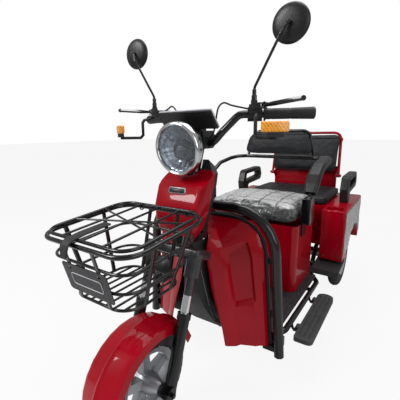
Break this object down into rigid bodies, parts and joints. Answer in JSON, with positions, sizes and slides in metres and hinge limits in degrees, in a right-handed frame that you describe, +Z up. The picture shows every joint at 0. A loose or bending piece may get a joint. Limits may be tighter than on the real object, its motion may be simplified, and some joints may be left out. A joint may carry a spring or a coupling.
{
  "type": "electric tricycle",
  "caption": "Electric passenger tricycle with a steered front wheel on a sprung fork, wire basket, driver seat and folding rear bench",
  "frame": {"origin": "on the ground, in the middle of the overall width and length", "axes": "+Z up, -Y forwards, +X to the driver's left"},
  "size_m": [0.768, 1.868, 1.28],
  "materials": {
    "red_paint": "gloss",
    "black_paint": "gloss",
    "black_plastic": "satin",
    "rubber": "matt",
    "tyre": "matt",
    "chrome": "polished",
    "alloy": "satin",
    "seat_vinyl": "grained",
    "amber_lens": "clear amber",
    "red_lens": "clear red",
    "clear_lens": "clear"
  },
  "bodies": {
    "chassis": {"main_frame": "black_paint", "rear_axle_housing": "alloy", "floor_deck": "rubber", "head_cover": "red_paint", "inner_shield": "black_plastic", "leg_shield": "red_paint", "crash_bar": "black_paint", "seat_box": "red_paint", "battery_pack": "black_plastic", "arm_hoop": "black_paint", "arm_pad": "black_plastic", "driver_back_cushion": "seat_vinyl", "rear_body": "red_paint", "rear_seat_cushion": "seat_vinyl", "tail_lamp": "red_lens", "side_box_left": "red_paint", "side_box_right": "red_paint", "rear_armrest_left": "black_plastic", "rear_armrest_right": "black_plastic", "rear_step_left": "rubber", "rear_step_right": "rubber"},
    "steering": {"fork_crown": "black_paint", "handlebar": "black_paint", "dash_display": "black_plastic", "headlight_shell": "black_plastic", "headlight_ring": "chrome", "headlight_lens": "clear_lens", "grip_left": "rubber", "horn": "black_plastic", "basket": "black_paint", "number_plate": "black_plastic", "switch_pod_left": "black_plastic", "switch_pod_right": "black_plastic", "signal_lens_left": "amber_lens", "signal_lens_right": "amber_lens", "brake_cable_left": "black_plastic", "brake_cable_right": "black_plastic"},
    "fork_slider": {"fork_lower": "black_paint", "front_fender": "red_paint"},
    "front_wheel": {"front_tyre": "tyre", "front_rim": "alloy"},
    "throttle": {"throttle_grip": "rubber"},
    "lid": {"basket_lid": "black_paint"},
    "strap": {"lid_strap": "rubber"},
    "driver_seat": {"driver_seat_cushion": "seat_vinyl"},
    "backrest": {"rear_backrest_frame": "red_paint", "rear_backrest_cushion": "seat_vinyl"},
    "lever_left": {"brake_lever_left": "black_paint"},
    "mirror_arm_left": {"mirror_stem_left": "black_paint"},
    "mirror_left": {"mirror_head_left": "black_plastic"},
    "rear_wheel_left": {"rear_tyre_left": "tyre", "rear_rim_left": "chrome"},
    "board_left": {"running_board_left": "rubber"},
    "lever_right": {"brake_lever_right": "black_paint"},
    "mirror_arm_right": {"mirror_stem_right": "black_paint"},
    "mirror_right": {"mirror_head_right": "black_plastic"},
    "rear_wheel_right": {"rear_tyre_right": "tyre", "rear_rim_right": "chrome"},
    "board_right": {"running_board_right": "rubber"}
  },
  "joints": [
    {"name": "steering_turn", "type": "hinge", "parent": "chassis", "child": "steering", "pos_m": [0, -0.556, 0.484], "axis": [0, 0.3584, 0.9336], "range_deg": [-35, 35]},
    {"name": "fork_travel", "type": "slide", "parent": "steering", "child": "fork_slider", "axis": [0, 0.3584, 0.9336], "range_m": [0, 0.045], "stiffness_N_per_m": 12000, "springref_m": -0.02},
    {"name": "front_wheel_spin", "type": "hinge", "parent": "fork_slider", "child": "front_wheel", "pos_m": [0, -0.7209, 0.18], "axis": [1, 0, 0], "continuous": true},
    {"name": "throttle_twist", "type": "hinge", "parent": "steering", "child": "throttle", "pos_m": [-0.205, -0.334, 0.988], "axis": [-0.9063, 0.4226, 0], "range_deg": [0, 60], "stiffness_Nm_per_rad": 0.3},
    {"name": "lid_hinge", "type": "hinge", "parent": "steering", "child": "lid", "pos_m": [0, -0.602, 0.702], "axis": [-1, 0, 0], "range_deg": [0, 75]},
    {"name": "seat_hinge", "type": "hinge", "parent": "chassis", "child": "driver_seat", "pos_m": [0, -0.0072, 0.5233], "axis": [1, 0, 0], "range_deg": [0, 70]},
    {"name": "strap_lift", "type": "hinge", "parent": "lid", "child": "strap", "pos_m": [-0.02, -0.8, 0.70637], "axis": [-1, 0, 0], "range_deg": [0, 55]},
    {"name": "backrest_fold", "type": "hinge", "parent": "chassis", "child": "backrest", "pos_m": [0, 0.87932, 0.64], "axis": [1, 0, 0], "range_deg": [0, 90]},
    {"name": "brake_lever_pull_left", "type": "hinge", "parent": "steering", "child": "lever_left", "pos_m": [0.22824, -0.38385, 1.01], "axis": [0, 0, 1], "range_deg": [0, 20], "stiffness_Nm_per_rad": 1},
    {"name": "mirror_swivel_left", "type": "hinge", "parent": "steering", "child": "mirror_arm_left", "pos_m": [0.201, -0.398, 1.026], "axis": [0, 0, 1], "range_deg": [-60, 60]},
    {"name": "mirror_tilt_left", "type": "hinge", "parent": "mirror_arm_left", "child": "mirror_left", "pos_m": [0.297, -0.3995, 1.226], "axis": [1, 0, 0], "range_deg": [-15, 15]},
    {"name": "rear_wheel_spin_left", "type": "hinge", "parent": "chassis", "child": "rear_wheel_left", "pos_m": [0.302, 0.65, 0.18], "axis": [1, 0, 0], "continuous": true},
    {"name": "running_board_fold_left", "type": "hinge", "parent": "chassis", "child": "board_left", "pos_m": [0.308, 0, 0.162], "axis": [0, -1, 0], "range_deg": [0, 90]},
    {"name": "brake_lever_pull_right", "type": "hinge", "parent": "steering", "child": "lever_right", "pos_m": [-0.22824, -0.38385, 1.01], "axis": [0, 0, -1], "range_deg": [0, 20], "stiffness_Nm_per_rad": 1},
    {"name": "mirror_swivel_right", "type": "hinge", "parent": "steering", "child": "mirror_arm_right", "pos_m": [-0.201, -0.398, 1.026], "axis": [0, 0, 1], "range_deg": [-60, 60]},
    {"name": "mirror_tilt_right", "type": "hinge", "parent": "mirror_arm_right", "child": "mirror_right", "pos_m": [-0.297, -0.3995, 1.226], "axis": [1, 0, 0], "range_deg": [-15, 15]},
    {"name": "rear_wheel_spin_right", "type": "hinge", "parent": "chassis", "child": "rear_wheel_right", "pos_m": [-0.302, 0.65, 0.18], "axis": [1, 0, 0], "continuous": true},
    {"name": "running_board_fold_right", "type": "hinge", "parent": "chassis", "child": "board_right", "pos_m": [-0.308, 0, 0.162], "axis": [0, 1, 0], "range_deg": [0, 90]}
  ]
}
